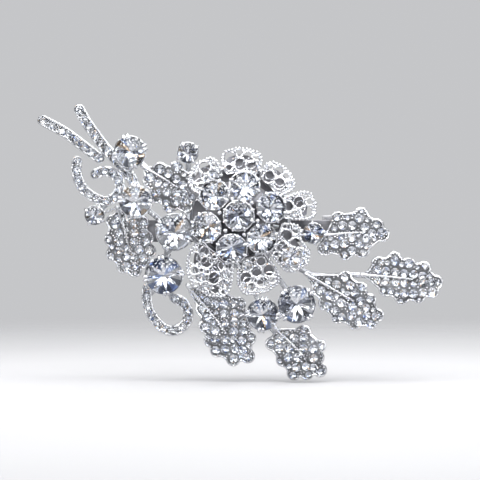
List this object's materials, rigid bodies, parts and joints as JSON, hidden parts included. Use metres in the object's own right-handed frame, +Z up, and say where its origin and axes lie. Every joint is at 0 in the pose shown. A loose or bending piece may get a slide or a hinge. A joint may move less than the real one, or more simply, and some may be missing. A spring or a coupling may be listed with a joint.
{
  "type": "rhinestone hair clip",
  "caption": "Hair clip: a spray of stone-set leaves, scrolls and an openwork flower with a cluster of round stones, mounted on a sprung barrette with a hinged clasp arm.",
  "frame": {"origin": "middle of the space that grips the hair, between the tension bar and the clasp arm", "axes": "+X along the barrette towards its catch, +Y from the decorated face back into the hair, +Z up as worn"},
  "size_m": [0.1076, 0.0245, 0.0732],
  "materials": {
    "silver": "polished rhodium plating",
    "crystal": "faceted, foiled behind",
    "steel": "pressed and plated",
    "spring_steel": "rolled spring strip"
  },
  "bodies": {
    "ornament": {"back_frame": "silver", "leaf_upper_right": "silver", "leaf_tip": "silver", "leaf_lower_right": "silver", "leaf_bottom": "silver", "leaf_lower_left": "silver", "leaf_left": "silver", "leaf_top_left": "silver", "stem_lower": "silver", "stem_upper": "silver", "scroll_upper": "silver", "scroll_lower": "silver", "petal_top": "silver", "petal_upper_right": "silver", "petal_right": "silver", "petal_lower_right": "silver", "petal_bottom": "silver", "petal_lower_left": "silver", "petal_upper_left": "silver", "cluster_basket": "silver", "cluster_stone_centre": "crystal", "cluster_stone_1": "crystal", "cluster_stone_2": "crystal", "cluster_stone_3": "crystal", "cluster_stone_4": "crystal", "cluster_stone_5": "crystal", "cluster_stone_6": "crystal", "cup_stem": "silver", "stone_stem": "crystal", "cup_scroll": "silver", "stone_scroll": "crystal", "cup_left_upper": "silver", "stone_left_upper": "crystal", "cup_left_lower": "silver", "stone_left_lower": "crystal", "cup_bottom": "silver", "stone_bottom": "crystal", "cup_bottom_right": "silver", "stone_bottom_right": "crystal", "cup_accent_top": "silver", "stone_accent_top": "crystal", "cup_accent_left": "silver", "stone_accent_left": "crystal", "cup_accent_petal": "silver", "stone_accent_petal": "crystal", "cup_accent_right": "silver", "stone_accent_right": "crystal", "barrette_base": "steel", "rivet_left": "steel", "rivet_right": "steel", "hinge_pin": "steel"},
    "clasp_arm": {"clasp_arm": "steel"},
    "tension_bar": {"tension_bar": "spring_steel"},
    "catch_leg_upper": {"catch_leg_upper": "spring_steel"},
    "catch_leg_lower": {"catch_leg_lower": "spring_steel"}
  },
  "joints": [
    {"name": "clasp_hinge", "type": "hinge", "parent": "ornament", "child": "clasp_arm", "pos_m": [-0.028, 0.0018, 0], "axis": [0, 0, 1], "range_deg": [0, 80]},
    {"name": "tension_bar_flex", "type": "hinge", "parent": "ornament", "child": "tension_bar", "pos_m": [-0.0246, -0.0042, 0], "axis": [0, 0, -1], "range_deg": [0, 1.2], "stiffness_Nm_per_rad": 0.5},
    {"name": "catch_squeeze_upper", "type": "hinge", "parent": "ornament", "child": "catch_leg_upper", "pos_m": [0.0296, -0.0046, 0.00195], "axis": [-1, 0, 0], "range_deg": [0, 7], "stiffness_Nm_per_rad": 0.05},
    {"name": "catch_squeeze_lower", "type": "hinge", "parent": "ornament", "child": "catch_leg_lower", "pos_m": [0.0296, -0.0046, -0.00195], "axis": [1, 0, 0], "range_deg": [0, 7], "stiffness_Nm_per_rad": 0.05}
  ],
  "couplings": [
    {"joint": "catch_squeeze_lower", "follows": "catch_squeeze_upper", "ratio": 1}
  ]
}
